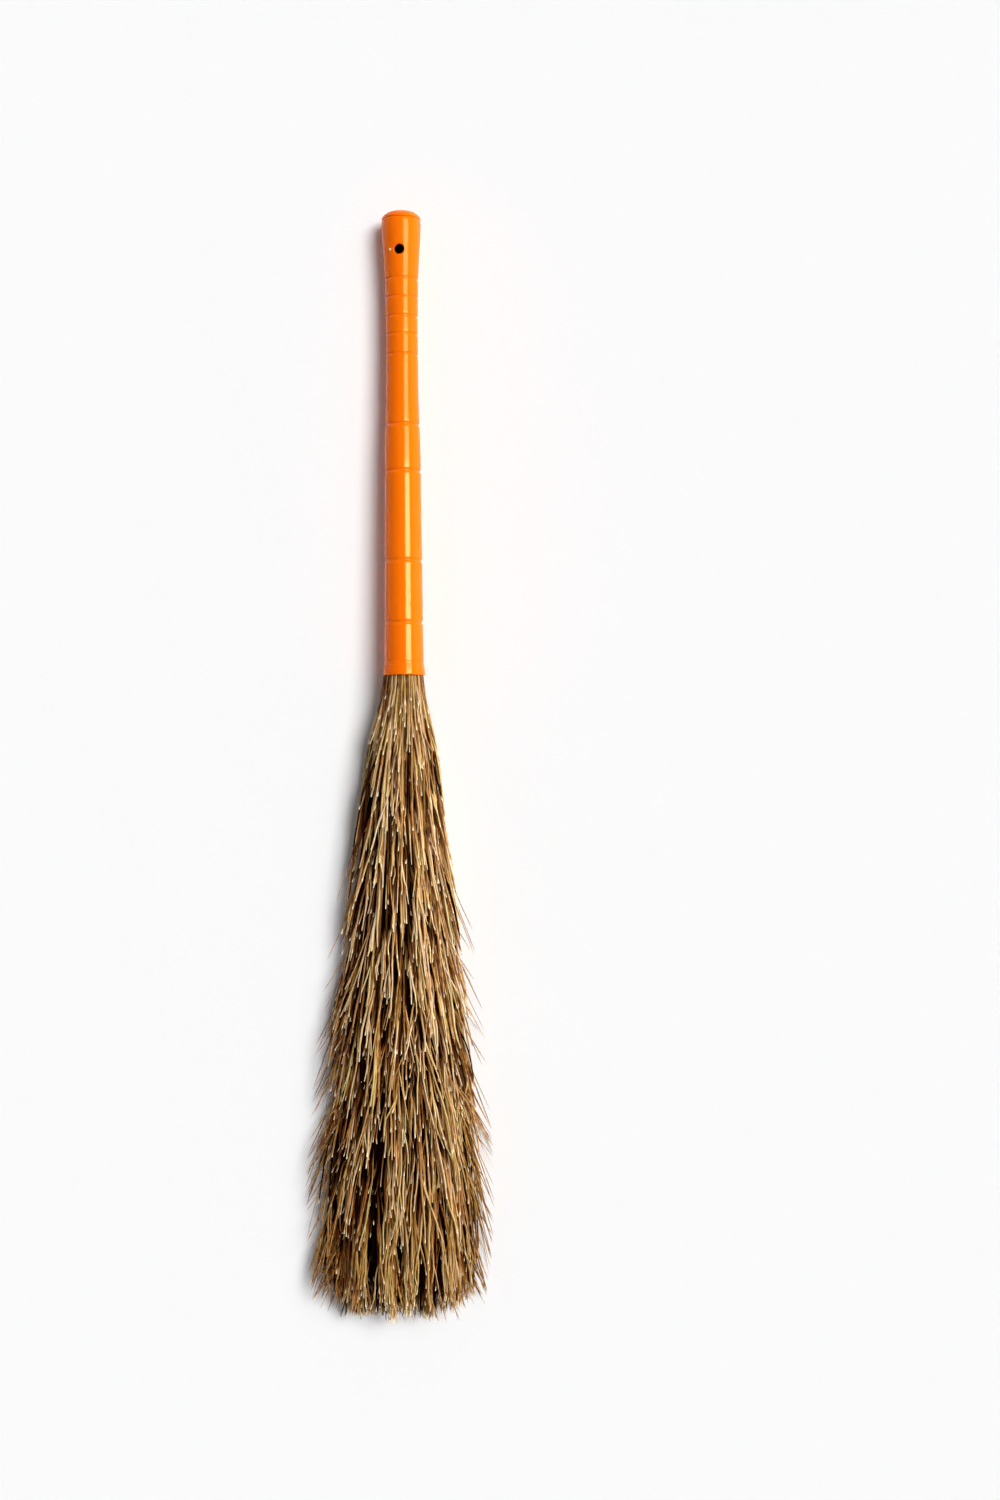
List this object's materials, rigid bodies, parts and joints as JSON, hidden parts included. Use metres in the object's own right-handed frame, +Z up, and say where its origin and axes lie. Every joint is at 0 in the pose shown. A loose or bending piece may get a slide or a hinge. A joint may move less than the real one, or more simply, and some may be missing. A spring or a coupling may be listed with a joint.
{
  "type": "straw broom",
  "caption": "Short hand broom of stiff straw stems wedged into a ringed orange plastic handle tube with a hanging hole.",
  "frame": {"origin": "floor level, under the middle of the footprint of the broom as it lies on its back", "axes": "+Y along the broom towards the handle's hanging end, +Z up from the floor, +X across it"},
  "size_m": [0.1706, 0.9997, 0.0619],
  "materials": {
    "handle_plastic": "moulded, glossy orange",
    "plug_plastic": "moulded, glossy orange",
    "straw": "dry straw stems, tan to brown, matt with a slight sheen",
    "tie_wire": "soft steel binding wire",
    "peg_wood": "raw pale wood"
  },
  "bodies": {
    "root": {"handle_tube": "handle_plastic", "end_plug": "plug_plastic", "wedge_peg": "peg_wood", "core_tie": "tie_wire", "middle_tie": "tie_wire", "outer_tie": "tie_wire", "core_stems_01": "straw", "core_stems_02": "straw", "core_stems_03": "straw", "core_stems_04": "straw", "middle_stems_01": "straw", "middle_stems_02": "straw", "middle_stems_03": "straw", "middle_stems_04": "straw", "middle_stems_05": "straw", "middle_stems_06": "straw", "middle_stems_07": "straw", "middle_stems_08": "straw", "outer_stems_01": "straw", "outer_stems_02": "straw", "outer_stems_03": "straw", "outer_stems_04": "straw", "outer_stems_05": "straw", "outer_stems_06": "straw", "outer_stems_07": "straw", "outer_stems_08": "straw", "outer_stems_09": "straw", "outer_stems_10": "straw", "outer_stems_11": "straw", "outer_stems_12": "straw"}
  },
  "joints": []
}
